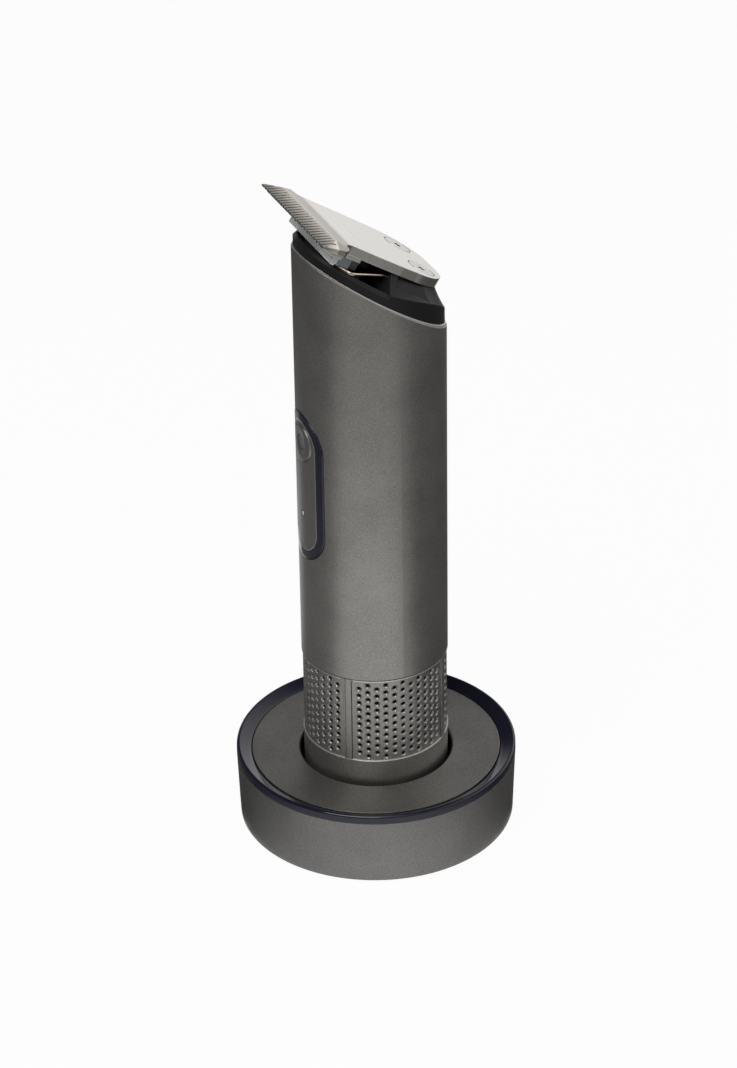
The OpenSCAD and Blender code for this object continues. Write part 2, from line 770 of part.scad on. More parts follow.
// bent wire spring that holds the carrier up against the fixed blade
module tension_spring() {
  half = [[leg_x, ped_v + 4.6 - tip_v, leg_w], [leg_x, ped_v - 0.9 - tip_v, leg_w],
    [12.6, 22.3, leg_w - 0.2], [14.1, 14.9, wire_w + 0.35], [14.2, 14, wire_w + 0.06],
    [13.8, 13.2, wire_w], [10.4, 10.4, wire_w], [9.4, 10, wire_w]];
  path = concat(half, [for (k = [len(half) - 1:-1:0]) [-half[k][0], half[k][1], half[k][2]]]);
  color([0.76, 0.62, 0.34]) slope() translate([0, tip_v, 0])
    for (k = [0:len(path) - 2]) hull() {
      translate(path[k]) sphere(d = wire_d, $fn = 16);
      translate(path[k + 1]) sphere(d = wire_d, $fn = 16);
    }
}

// painted side of the dock with its inner ledges and the inlet's opening
module dock_shell() {
  r1 = dock_r - dock_draft;
  color([0.31, 0.30, 0.29]) difference() {
    rotate_extrude() polygon([[r1, foot_h], [dock_r, shell_top], [dock_r - dock_ring_w, shell_top],
      [dock_r - dock_ring_w, deck_z - deck_t], [deck_r - 2.4, deck_z - deck_t],
      [deck_r - 2.4, deck_z - deck_t - 1.5], [dock_r - 2.4, deck_z - deck_t - 1.5],
      [r1 - 2, base_z + base_t + 1.2], [r1 - 3.3, base_z + base_t + 1.2],
      [r1 - 3.3, base_z + base_t], [r1 - 2.2, base_z + base_t], [r1 - 2.2, foot_h]]);
    translate([0, 0, dock_board_top + inlet_r]) {
      translate([-inlet_half, 10, -inlet_r - 0.12]) cube([2 * inlet_half, far, 2 * inlet_r + 0.24]);
      for (s = [-1, 1]) ybar(inlet_r + 0.12, 10, far, s * inlet_half, 0);
    }
    translate([-7, 10, base_z + base_t]) cube([14, dock_r - 12.9, shell_top - 4 - base_z - base_t]);
  }
}

// gloss ring on the dock, rounded outside and sloped inside
module dock_trim_ring() {
  top = dock_h - shell_top;
  r = 0.85;
  color([0.05, 0.06, 0.14]) translate([0, 0, shell_top]) rotate_extrude() {
    polygon([[dock_r - dock_ring_w, 0], [dock_r, 0], [dock_r, top - r], [dock_r - r, top - r],
      [dock_r - r, top], [dock_r - 2 * r, top], [dock_r - 2.1, top - 0.15], [dock_r - dock_ring_w, 0.6]]);
    translate([dock_r - r, top - r]) circle(r);
  }
}

// deck of the dock with the socket cup and four screw bosses
module dock_deck() {
  color([0.29, 0.28, 0.27]) difference() {
    union() {
      translate([0, 0, deck_z - deck_t]) cylinder(r = deck_r, h = deck_t);
      translate([0, 0, cup_low]) cylinder(r = cup_r, h = deck_z - cup_low - 0.1);
      for (k = [0:3]) rotate([0, 0, 45 + 90 * k]) translate([boss_r, 0, 5])
        cylinder(r = 2.8, h = deck_z - 5.5);
    }
    translate([0, 0, tail_z]) cylinder(r = socket_r, h = far);
    translate([0, 0, deck_z - 0.5]) cylinder(r1 = socket_r, r2 = socket_r + 0.8, h = 0.8);
    for (k = [0:3]) rotate([0, 0, 45 + 90 * k]) translate([boss_r, 0, 4]) cylinder(r = 1.1, h = 9);
    for (s = [-1, 1]) translate([s * contact_pitch / 2, 0, 0]) cylinder(r = 1.05, h = far);
  }
}

// bottom plate of the dock with pockets for the screws and feet
module dock_base() {
  color([0.08, 0.08, 0.08]) difference() {
    union() {
      translate([0, 0, base_z]) cylinder(r = dock_r - dock_draft - 2.25, h = base_t);
      for (k = [0:3]) rotate([0, 0, 45 + 90 * k]) translate([boss_r, 0, base_z])
        cylinder(r = 3.6, h = 5 - base_z);
      for (x = [-1, 1], y = [-1, 1]) translate([x * 9, y * 6, base_z + 1])
        cylinder(r = 1.5, h = dock_board_z - base_z - 1);
    }
    for (k = [0:3]) rotate([0, 0, 45 + 90 * k]) translate([boss_r, 0, 0]) {
      cylinder(r = 1.15, h = far);
      cylinder(r = 2.2, h = 3.2);
      cylinder(r = 4.5, h = base_z + 0.7);
    }
  }
}

// four rubber feet that cover the screws
module dock_feet() {
  color([0.04, 0.04, 0.04]) for (k = [0:3]) rotate([0, 0, 45 + 90 * k]) translate([boss_r, 0, 0])
    cylinder(r = 4.45, h = base_z + 0.7);
}

// four screws from the base up into the deck
module dock_screws() {
  color([0.55, 0.55, 0.56]) for (k = [0:3]) rotate([0, 0, 45 + 90 * k]) translate([boss_r, 0, 3.2])
    mirror([0, 0, 1]) screw(2, 1.3, 1.1, 9);
}

// charging board of the dock, with a tongue to the inlet
module dock_board() {
  color([0.05, 0.25, 0.16]) translate([0, 0, dock_board_z]) {
    cylinder(r = 15, h = dock_board_t);
    translate([-6, 5, 0]) cube([12, inlet_y + 5.4 - 5, dock_board_t]);
  }
}

// charging inlet at the rear of the dock: steel shell with a contact tongue
module dock_inlet() {
  color([0.70, 0.70, 0.71]) translate([0, inlet_y, dock_board_top + inlet_r]) rotate([-90, 0, 0]) {
    difference() {
      linear_extrude(7.3) {
        square([2 * inlet_half, 2 * inlet_r], center = true);
        for (s = [-1, 1]) translate([s * inlet_half, 0]) circle(inlet_r, $fn = 48);
      }
      translate([0, 0, 1.2]) linear_extrude(8) {
        square([2 * inlet_half, 2 * inlet_r - 0.7], center = true);
        for (s = [-1, 1]) translate([s * inlet_half, 0]) circle(inlet_r - 0.35, $fn = 48);
      }
    }
    translate([-3.3, -0.35, 1]) cube([6.6, 0.7, 5]);
  }
}

// two barrels that guide the sprung charging pins
module dock_pin_barrels() {
  color([0.78, 0.66, 0.38]) for (s = [-1, 1]) translate([s * contact_pitch / 2, 0, 0])
    tube(2, 1.45, dock_board_top, cup_low);
}

// one sprung charging pin with its stop flange
module dock_pin(side) {
  top = tail_z + pad_drop - 0.03;
  stop_z = dock_board_top + 0.75 + pin_travel;
  color([0.85, 0.76, 0.50]) translate([side * contact_pitch / 2, 0, 0]) {
    translate([0, 0, stop_z]) cylinder(r = 0.95, h = top - stop_z);
    translate([0, 0, stop_z]) cylinder(r = 1.35, h = cup_low - 0.05 - stop_z);
  }
}

// left charging pin
module dock_pin_left() {
  dock_pin(-1);
}

// right charging pin
module dock_pin_right() {
  dock_pin(1);
}

dock_shell();
dock_trim_ring();
dock_deck();
dock_base();
dock_feet();
dock_screws();
dock_board();
dock_inlet();
dock_pin_barrels();
dock_pin_left();
dock_pin_right();
body_sleeve();
grille_frame();
grille_fields();
grille_liner();
tail_cap();
tail_contacts();
tail_screws();
inner_frame();
battery_cell();
battery_tabs();
main_board();
board_screws();
tact_switch();
switch_plunger();
indicator_led();
light_guide();
panel_trim_ring();
control_panel();
power_button();
motor_can();
motor_screws();
motor_shaft();
crank_hub();
head_frame();
head_screws();
fixed_blade();
blade_screws();
cutter_blade();
cutter_carrier();
tension_spring();
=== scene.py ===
import math

import bpy
import numpy as np
from mathutils import Matrix, Vector


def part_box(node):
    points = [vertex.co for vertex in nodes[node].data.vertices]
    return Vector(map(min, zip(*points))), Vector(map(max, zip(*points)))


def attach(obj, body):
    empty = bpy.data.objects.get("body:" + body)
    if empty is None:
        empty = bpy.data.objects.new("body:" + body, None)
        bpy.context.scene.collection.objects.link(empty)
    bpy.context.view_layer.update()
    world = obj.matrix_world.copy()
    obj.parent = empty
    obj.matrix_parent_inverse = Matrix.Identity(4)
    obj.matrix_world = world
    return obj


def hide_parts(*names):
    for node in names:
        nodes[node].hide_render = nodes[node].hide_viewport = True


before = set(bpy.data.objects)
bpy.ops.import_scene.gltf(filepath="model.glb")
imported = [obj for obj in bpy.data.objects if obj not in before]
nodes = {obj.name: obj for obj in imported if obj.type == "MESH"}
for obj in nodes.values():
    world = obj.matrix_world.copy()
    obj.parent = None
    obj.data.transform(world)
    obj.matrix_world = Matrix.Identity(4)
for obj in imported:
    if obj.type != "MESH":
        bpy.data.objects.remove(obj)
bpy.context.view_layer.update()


# Rubber feet under the dock. Four moulded discs of soft black rubber, glued into round pockets
# of the bottom plate so that they cover its screws.
MM = 0.001


class Value:
    """A shader socket that takes part in arithmetic: every operation adds one Math node."""

    def __init__(self, graph, socket):
        self.graph = graph
        self.socket = socket

    def math(self, operation, *others):
        return self.graph.node("ShaderNodeMath", {"operation": operation}, [self, *others])

    def __add__(self, other):
        return self.math("ADD", other)

    __radd__ = __add__

    def __mul__(self, other):
        return self.math("MULTIPLY", other)

    __rmul__ = __mul__

    def __sub__(self, other):
        return self.math("SUBTRACT", other)

    def __rsub__(self, other):
        return (self * -1.0) + other

    def __abs__(self):
        return self.math("ABSOLUTE")

    def at_least(self, other):
        return self.math("MAXIMUM", other)

    def at_most(self, other):
        return self.math("MINIMUM", other)

    def root(self):
        return self.math("SQRT")

    def step(self, low, high):
        """0 below low, 1 above high, and a smooth ramp between them."""
        return self.graph.node("ShaderNodeMapRange", {"interpolation_type": "SMOOTHSTEP"},
                               {"Value": self, "From Min": low, "From Max": high})

    def band(self, low, high, soft):
        """1 between low and high, fading out over soft on either side."""
        return self.step(low - soft, low) * (1 - self.step(high, high + soft))


class Graph:
    """A node tree under construction."""

    def __init__(self, tree):
        self.tree = tree

    def node(self, kind, settings=None, inputs=None, output=0):
        """Adds one node: its settings first, then its inputs by name or in order; returns one output."""
        made = self.tree.nodes.new(kind)
        for setting, value in (settings or {}).items():
            setattr(made, setting, value)
        pairs = inputs.items() if isinstance(inputs, dict) else enumerate(inputs or [])
        for socket, value in pairs:
            if isinstance(value, Value):
                self.tree.links.new(value.socket, made.inputs[socket])
            else:
                made.inputs[socket].default_value = value
        return Value(self, made.outputs[output])

    def outputs(self, value):
        """All outputs of the node that gave this value."""
        return [Value(self, socket) for socket in value.socket.node.outputs]


class Finish(Graph):
    """A material under construction: its node tree and its Principled shader."""

    def __init__(self, name, **constants):
        self.material = bpy.data.materials.new(name)
        self.material.use_nodes = True
        super().__init__(self.material.node_tree)
        self.shader = self.tree.nodes["Principled BSDF"]
        for socket, value in constants.items():
            self.shader.inputs[socket.replace("_", " ").title().replace("Ior", "IOR")].default_value = value

    def place(self):
        """The point on the piece in object coordinates, as a vector in metres."""
        return self.node("ShaderNodeTexCoord", output="Object")

    def axes(self):
        """The point's x, y and z in millimetres."""
        parted = self.node("ShaderNodeSeparateXYZ", None, [self.place()])
        return [axis * 1000.0 for axis in self.outputs(parted)]

    def noise(self, size, detail=2.0, stretch=(1, 1, 1)):
        """Grain with features of about that size in metres, stretched along the axes; 0 to 1."""
        scale = [1 / (size * s) for s in stretch]
        grain = self.node("ShaderNodeMapping", None, {"Vector": self.place(), "Scale": scale})
        return self.node("ShaderNodeTexNoise", None, {"Vector": grain, "Scale": 1.0, "Detail": detail})

    def mix(self, factor, first, second):
        """The first colour at factor 0 and the second at factor 1."""
        first, second = [c if isinstance(c, Value) else (*c, 1.0) for c in (first, second)]
        return self.node("ShaderNodeMix", {"data_type": "RGBA"}, {0: factor, 6: first, 7: second}, output=2)

    def edge(self, radius):
        """The surface direction with every sharp edge eased to that radius in metres."""
        return self.node("ShaderNodeBevel", {"samples": 6}, {"Radius": radius})

    def bump(self, height, depth, **under):
        """A relief of that depth in metres over the height's range, on top of another surface direction."""
        under = {socket.title(): value for socket, value in under.items()}
        relief = {"Height": height, "Distance": depth, "Strength": 1.0}
        return self.node("ShaderNodeBump", None, {**relief, **under})

    def feed(self, **links):
        """Links values to the shader's sockets that may vary over the surface."""
        for socket, value in links.items():
            self.tree.links.new(value.socket, self.shader.inputs[socket.replace("_", " ").title()])


def dress(finish, *names):
    """Gives the finish to these CAD nodes."""
    for name in names:
        mesh = nodes[name].data
        mesh.materials.clear()
        mesh.materials.append(finish.material)


rubber = Finish("rubber", specular_ior_level=0.35)
grain = rubber.noise(0.4 * MM, 3)
rubber.feed(base_color=rubber.mix(grain, (0.012, 0.012, 0.012), (0.022, 0.022, 0.021)),
            roughness=grain * 0.2 + 0.65, normal=rubber.bump(grain, 0.02 * MM))
dress(rubber, "dock_feet")


# Bottom plate of the dock and the other dark mouldings that hardly show: the liner behind the
# perforations, the body of the push switch and the inner frame. Injection moulded with a fine eroded
# texture, and screwed or snapped into the pieces round them.
def moulded(name, dark, light, roughness):
    """Moulded plastic: fine eroded grain in relief, with a slow change of gloss over the piece."""
    made = Finish(name, specular_ior_level=0.4)
    grain = made.noise(0.25 * MM, 2)
    cloud = made.noise(9 * MM, 2)
    made.feed(base_color=made.mix(cloud * 0.6 + grain * 0.4, dark, light),
              roughness=cloud * 0.14 + (roughness - 0.07), normal=made.bump(grain, 0.008 * MM))
    return made


black_moulding = moulded("black_moulding", (0.008, 0.008, 0.009), (0.013, 0.013, 0.014), 0.6)
dress(black_moulding, "dock_base", "grille_liner", "tact_switch")
frame_moulding = moulded("frame_moulding", (0.028, 0.028, 0.031), (0.042, 0.042, 0.045), 0.5)
dress(frame_moulding, "inner_frame")


# Plated metal hardware: the cross-head screws, the inlet's shell, the cell's tabs, the motor can with its
# shaft, and the charging pins and contacts. Drawn or turned, then plated with zinc, nickel or gold, with
# faint cloudy staining.
def plated(name, colour, roughness):
    """Plated metal: cloudy gloss and a slight stain of a darker tone."""
    made = Finish(name, metallic=1.0)
    cloud = made.noise(1.2 * MM, 4)
    dark = tuple(0.75 * c for c in colour)
    made.feed(base_color=made.mix(cloud, dark, colour), roughness=cloud * 0.2 + (roughness - 0.1),
              normal=made.bump(made.noise(0.15 * MM, 2), 0.003 * MM))
    return made


screw_zinc = plated("screw_zinc", (0.56, 0.56, 0.55), 0.35)
dress(screw_zinc, "dock_screws", "tail_screws", "board_screws", "motor_screws", "dock_inlet", "battery_tabs")
dress(plated("motor_steel", (0.60, 0.60, 0.61), 0.3), "motor_can", "motor_shaft")
dress(plated("contact_gold", (0.86, 0.68, 0.36), 0.24), "dock_pin_barrels", "dock_pin_left", "dock_pin_right")
dress(plated("contact_nickel", (0.74, 0.70, 0.62), 0.26), "tail_contacts")


# Circuit boards of the dock and the trimmer: glass laminate under green solder mask, with the copper
# tracks showing as paler lines. Each is screwed or clipped to the moulding behind it.
mask = Finish("solder_mask", coat_weight=0.4, coat_roughness=0.2)
tracks = mask.node("ShaderNodeTexBrick", {"offset": 0.5},
                   {"Vector": mask.place(), "Scale": 420.0, "Mortar Size": 0.06, "Mortar Smooth": 0.1,
                    "Color1": (0, 0, 0, 1), "Color2": (0, 0, 0, 1), "Mortar": (1, 1, 1, 1)})
mask.feed(base_color=mask.mix(tracks, (0.008, 0.075, 0.035), (0.03, 0.17, 0.07)),
          roughness=mask.noise(2 * MM) * 0.2 + 0.3, normal=mask.bump(tracks, 0.02 * MM))
dress(mask, "dock_board", "main_board")


# Side of the dock: moulded shell, sprayed with the same satin paint as the trimmer, a warm dark grey
# with fine aluminium flake under a dull clear coat.
FLAKE_SIZE, PEEL_SIZE, CLOUD_SIZE = 0.2, 0.7, 14
FLAKE_CONTRAST = 0.3
PAINT_EASE = 0.18


def paint(finish, colour, gloss, flake=1.0):
    """Satin metallic paint: flakes as single bright and dark grains, and a slight orange peel.
    Returns what it gives each socket."""
    flakes = finish.noise(FLAKE_SIZE * MM, 1)
    cloud = finish.noise(CLOUD_SIZE * MM, 3)
    peel = finish.noise(PEEL_SIZE * MM, 1)
    dark = tuple(c * (1 - FLAKE_CONTRAST * flake) for c in colour)
    pale = tuple(c * (1 + FLAKE_CONTRAST * flake) for c in colour)
    tone = flakes * 0.75 + cloud * 0.25
    relief = peel * 0.7 + flakes * 0.3
    return {"base_color": finish.mix(tone.step(0.3, 0.7), dark, pale),
            "metallic": flakes.step(0.2, 0.8) * 0.1 + 0.8,
            "roughness": cloud * 0.08 + flakes * 0.06 + (gloss - 0.07),
            "normal": finish.bump(relief, 0.005 * MM, normal=finish.edge(PAINT_EASE * MM))}


dock_paint = Finish("dock_paint")
dock_paint.feed(**paint(dock_paint, (0.205, 0.201, 0.195), 0.50))
dress(dock_paint, "dock_shell")


# Deck of the dock: one moulding with the socket cup, sprayed from above in a paler grey than the side.
# Inside the socket the colour is painted near-black, as painted shade in the hollow.
SOCKET_R = 20.0
SOCKET_SHADE_FADE = 0.5
deck_paint = Finish("deck_paint")
x, y, _ = deck_paint.axes()
# Painted shade: colour and metal fade to near-black inside the socket's radius.
outside_socket_shade = (x * x + y * y).root().step(SOCKET_R, SOCKET_R + SOCKET_SHADE_FADE)
layers = paint(deck_paint, (0.29, 0.283, 0.270), 0.36)
layers["base_color"] = deck_paint.mix(outside_socket_shade, (0.008, 0.008, 0.008), layers["base_color"])
layers["metallic"] = layers["metallic"] * outside_socket_shade
deck_paint.feed(**layers)
dress(deck_paint, "dock_deck")


# Ring on the dock's crest. Moulded gloss plastic in very dark navy, snapped onto the shell. Its outer
# edge is rounded, and its top falls in a shallow slope to the deck.
def gloss_navy(finish):
    """Polished navy plastic: a slow wave left by the moulding, and faint polishing haze."""
    wave = finish.noise(3 * MM, 1)
    return {"base_color": finish.mix(wave, (0.010, 0.010, 0.021), (0.017, 0.017, 0.034)),
            "roughness": finish.noise(0.6 * MM, 3) * 0.06 + 0.08,
            "normal": finish.bump(wave, 0.004 * MM)}


RING_R, RING_LOW, RING_CREST = 36.75, 18.4, 20.65
RING_IN, RING_IN_TOP = 32.86, 18.98
RING_EASE = 0.05
SIDE_TOP = 0.3
CREST_R, CREST_IN = 0.65, 0.03
CREST_FROM, CREST_TO, CREST_STEPS = 4, 116, 10
SLOPE_RUN, SLOPE_RISE = 0.9, 0.42
LIP_EASE = 0.06
RING_SIDES = 256


def arc(middle, radius, start, end, steps):
    """Points of an arc in a profile: its middle plus the radius times the cosine and sine of the turn."""
    turn = np.radians(np.linspace(start, end, steps))
    return np.column_stack([middle[0] + radius * np.cos(turn), middle[1] + radius * np.sin(turn)])


def closed_faces(index):
    """Faces between neighbours in the last two axes of a grid of corner numbers. Both axes close."""
    after, beside = np.roll(index, -1, axis=-2), np.roll(index, -1, axis=-1)
    both = np.roll(after, -1, axis=-1)
    return np.stack([index, after, both, beside], axis=-1).reshape(-1, 4)


def revolved(profile, sides):
    """A closed profile of distance and height turned about the upright axis: each corner lies at the
    distance times the cosine and the sine of the turn. Returns corners and faces."""
    turn = np.linspace(0, 2 * np.pi, sides, endpoint=False)[:, None]
    out, rise = profile.T
    corners = np.stack([out * np.cos(turn), out * np.sin(turn), rise + 0 * turn], axis=-1)
    index = np.arange(sides * len(profile)).reshape(sides, len(profile))
    return corners.reshape(-1, 3), closed_faces(index)


def piece(name, corners, faces, finish):
    """A new smooth-shaded piece of that finish, from corners in metres."""
    mesh = bpy.data.meshes.new(name)
    mesh.from_pydata(corners.tolist(), [], [list(face) for face in faces])
    mesh.shade_smooth()
    mesh.materials.append(finish.material)
    made = bpy.data.objects.new(name, mesh)
    bpy.context.scene.collection.objects.link(made)
    return made


crest = (RING_R - CREST_R - CREST_IN, RING_CREST - CREST_R)
ring_side = [(RING_IN, RING_LOW), (RING_R - RING_EASE, RING_LOW), (RING_R, RING_LOW + RING_EASE),
             (RING_R, RING_LOW + SIDE_TOP)]
ring_slope = [(RING_IN + SLOPE_RUN, RING_IN_TOP + SLOPE_RISE), (RING_IN + LIP_EASE, RING_IN_TOP),
              (RING_IN, RING_IN_TOP - LIP_EASE)]
ring_crest = arc(crest, CREST_R, CREST_FROM, CREST_TO, CREST_STEPS)
ring_profile = np.concatenate([ring_side, ring_crest, ring_slope])
dock_gloss = Finish("dock_gloss", specular_ior_level=0.45)
dock_gloss.feed(**gloss_navy(dock_gloss))
corners, faces = revolved(ring_profile, RING_SIDES)
crest_ring = piece("crest_ring", corners * MM, faces, dock_gloss)
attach(crest_ring, "dock")
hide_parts("dock_trim_ring")


# Cap at the bottom of the trimmer and the perforated grip above it. The grip is a steel band, punched in
# staggered columns, sprayed like the sleeve and carried by the black liner. Its lower rim and the edge above
# its fields carry painted highlights in pale metal, and the rolled lips of its holes a paler paint for
# brighter highlights.
BODY_GREY = (0.315, 0.305, 0.288)
BODY_GLOSS = 0.41
BARE_METAL_AND_HIGHLIGHT = (0.85, 0.84, 0.81)
RIM_LOW, RIM_HIGH, RIM_HIGHLIGHT = 25.76, 25.92, 0.85
TOP_LOW, TOP_HIGH, TOP_HIGHLIGHT = 49.78, 50.16, 0.5
HIGHLIGHT_SOFT = 0.05
STRIP_SPAN, STRIP_SOFT = 66.0, 4.0
grip_paint = Finish("grip_paint")
x, y, z = grip_paint.axes()
strips = (x * x - y * y).band(-STRIP_SPAN, STRIP_SPAN, STRIP_SOFT)
# Painted highlights: thin pale metal bands on the lower rim and on the edge above the fields, where the
# ledges catch light.
painted_rim_highlight = z.band(RIM_LOW, RIM_HIGH, HIGHLIGHT_SOFT) * RIM_HIGHLIGHT
painted_top_highlight = z.band(TOP_LOW, TOP_HIGH, HIGHLIGHT_SOFT) * (1 - strips) * TOP_HIGHLIGHT
layers = paint(grip_paint, BODY_GREY, BODY_GLOSS)
layers["base_color"] = grip_paint.mix(painted_rim_highlight + painted_top_highlight, layers["base_color"], BARE_METAL_AND_HIGHLIGHT)
grip_paint.feed(**layers)
dress(grip_paint, "grille_frame", "grille_fields", "tail_cap")

# Painted highlight: the hole lips get a paler copy of the grip's paint, so their rims catch brighter
# highlights.
lip_highlight_paint = Finish("lip_highlight_paint")
layers = paint(lip_highlight_paint, (0.36, 0.35, 0.335), 0.40)
layers["normal"] = lip_highlight_paint.bump(lip_highlight_paint.noise(PEEL_SIZE * MM, 1), 0.003 * MM)
lip_highlight_paint.feed(**layers)

FIELDS = 4
FIELD_R = 18.7
FIELD_MID = 37.85
COLUMNS, COLUMN_TURN = 11, 7.15
ROWS, HOLE_PITCH = 11, 2.15
LIP_SIDES = 14
LIP_PROFILE = np.array([(0.87, 0.02), (0.80, 0.05), (0.53, 0.35), (0.49, 0.44), (0.48, 0.60), (0.62, 0.60),
                        (0.62, 0.28)])


def lipped_holes():
    """One rolled lip for every hole. A point stands beside and above the hole's axis by its distance times
    the cosine and sine of its turn, and lies below the field's round face by its depth. Columns step by an
    angle and rows by a pitch. Every even column has one hole less and starts half a pitch higher."""
    column, row = np.meshgrid(np.arange(COLUMNS), np.arange(ROWS), indexing="ij")
    odd = column % 2
    rise = FIELD_MID + (row - (ROWS - 2 + odd) / 2) * HOLE_PITCH
    kept = row < ROWS - 1 + odd
    turn = np.radians((column[kept] - (COLUMNS - 1) / 2) * COLUMN_TURN)
    turn = (turn + np.radians(360 / FIELDS * np.arange(FIELDS))[:, None]).ravel()[:, None, None]
    rise = np.tile(rise[kept], FIELDS)[:, None, None]
    around = np.linspace(0, 2 * np.pi, LIP_SIDES, endpoint=False)[None, :, None]
    side = LIP_PROFILE[None, None, :, 0] * np.cos(around)
    up = LIP_PROFILE[None, None, :, 0] * np.sin(around)
    out = np.sqrt(FIELD_R ** 2 - side ** 2) - LIP_PROFILE[None, None, :, 1]
    corners = np.stack(np.broadcast_arrays(out * np.sin(turn) + side * np.cos(turn),
                                           side * np.sin(turn) - out * np.cos(turn), rise + up), axis=-1)
    index = np.arange(corners[..., 0].size).reshape(corners.shape[:3])
    return corners.reshape(-1, 3), closed_faces(index)


corners, faces = lipped_holes()
hole_lips = piece("hole_lips", corners * MM, faces, lip_highlight_paint)
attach(hole_lips, "trimmer")


# Round cell: a steel can in blue shrink film, which is drawn tight over both ends. It lies in the inner
# frame, between its welded tabs.
film = Finish("cell_film", coat_weight=0.5, coat_roughness=0.15)
wrinkle = film.noise(2.5 * MM, 3, (1, 1, 4))
film.feed(base_color=film.mix(wrinkle, (0.012, 0.075, 0.20), (0.02, 0.11, 0.27)),
          roughness=wrinkle * 0.15 + 0.25, normal=film.bump(wrinkle, 0.03 * MM))
dress(film, "battery_cell")


# White mouldings of the drive and the switch, in slippery acetal: the crank hub is pressed onto the
# motor's shaft, and the plunger slides in the switch.
white_moulding = moulded("white_moulding", (0.66, 0.66, 0.63), (0.74, 0.74, 0.71), 0.35)
dress(white_moulding, "crank_hub", "switch_plunger")


# Sleeve of the trimmer: drawn metal tube cut on the slant. It is sprayed outside, and its rim is turned
# afterwards, which leaves a thin line of bare bright metal round the slanted edge.
RIM_TILT = math.radians(32.6)
BODY_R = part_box("body_sleeve")[1].x / MM
RIM_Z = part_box("body_sleeve")[1].z / MM - BODY_R * math.tan(RIM_TILT)
RIM_EDGE, RIM_FADE = 0.32, 0.08
RIM_BARE, RIM_ROUGHNESS = 0.8, 0.55


def slanted(finish):
    """Place in the slanted head in mm: x across, v down the slope from the rim's middle, w square to it."""
    x, y, z = finish.axes()
    cos, sin = math.cos(RIM_TILT), math.sin(RIM_TILT)
    return x, y * cos - (z - RIM_Z) * sin, y * sin + (z - RIM_Z) * cos


sleeve_paint = Finish("sleeve_paint")
_, _, w = slanted(sleeve_paint)
bare = w.step(-RIM_EDGE, -RIM_EDGE + RIM_FADE) * RIM_BARE
layers = paint(sleeve_paint, BODY_GREY, BODY_GLOSS)
layers["base_color"] = sleeve_paint.mix(bare, layers["base_color"], BARE_METAL_AND_HIGHLIGHT)
layers["metallic"] = layers["metallic"] * (1 - bare) + bare
layers["roughness"] = layers["roughness"] * (1 - bare) + bare * RIM_ROUGHNESS
sleeve_paint.feed(**layers)
dress(sleeve_paint, "body_sleeve")


# Trim ring round the control panel: gloss navy moulding like the dock's ring, with a thin bright metal
# line round its inner edge. A flange behind the sleeve holds it.
FLANGE = 1.2
RING_W = 2.6
LINE_W, LINE_SOFT = 0.26, 0.06
TRIM_EASE = 0.8
low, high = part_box("panel_trim_ring")
panel_mid = (low.z + high.z) / 2 / MM
panel_half_w = (high.x - low.x) / 2 / MM - FLANGE
panel_half_len = (high.z - low.z) / 2 / MM - FLANGE


def past_panel(x, z):
    """Distance from the panel's own outline, a rectangle with round ends; negative inside it."""
    over = (abs(z - panel_mid) - (panel_half_len - panel_half_w)).at_least(0.0)
    return (x * x + over * over).root() - (panel_half_w - RING_W)


trim_gloss = Finish("trim_gloss", specular_ior_level=0.5, coat_weight=0.3, coat_roughness=0.04)
x, _, z = trim_gloss.axes()
line = 1 - past_panel(x, z).step(LINE_W, LINE_W + LINE_SOFT)
layers = gloss_navy(trim_gloss)
layers["base_color"] = trim_gloss.mix(line, layers["base_color"], (0.80, 0.79, 0.78))
layers["metallic"] = line * 0.95
layers["roughness"] = layers["roughness"] + line * 0.35
layers["normal"] = trim_gloss.edge(TRIM_EASE * MM)
trim_gloss.feed(**layers)
dress(trim_gloss, "panel_trim_ring")


# Control panel: moulded plate behind the ring, sprayed like the sleeve with less flake, with a hole for the
# button and a small window for the lamp, with a dark rim of painted shade round the window.
LAMP_Z = 93.4
LAMP_R = 0.65
LAMP_GAP_SHADE = (LAMP_R + 0.25, LAMP_R + 0.45)
PANEL_FLAKE = 0.6
panel_paint = Finish("panel_paint")
x, _, z = panel_paint.axes()
from_lamp = (x * x + (z - LAMP_Z) * (z - LAMP_Z)).root()
# Painted shade: a near-black ring round the lamp's window stands for the shade in the gap round the light
# guide.
lamp_gap_shade = 1 - from_lamp.step(*LAMP_GAP_SHADE)
layers = paint(panel_paint, BODY_GREY, 0.38, PANEL_FLAKE)
layers["base_color"] = panel_paint.mix(lamp_gap_shade, layers["base_color"], (0.012, 0.012, 0.012))
layers["metallic"] = layers["metallic"] * (1 - lamp_gap_shade)
panel_paint.feed(**layers)
dress(panel_paint, "control_panel")


# Power button: sprayed cap with an eased edge and a shallow finger dish, printed with the plain power
# sign, an open ring with a bar.
SIGN_R = 1.9
SIGN_LINE, SIGN_SOFT = 0.16, 0.08
SIGN_GAP, GAP_ABOVE = (0.55, 0.7), (0.0, 0.2)
SIGN_BAR = (0.5, 2.3)
SIGN_DARK = 0.7
BUTTON_EASE = 1.1
low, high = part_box("power_button")
button_z = (low.z + high.z) / 2 / MM

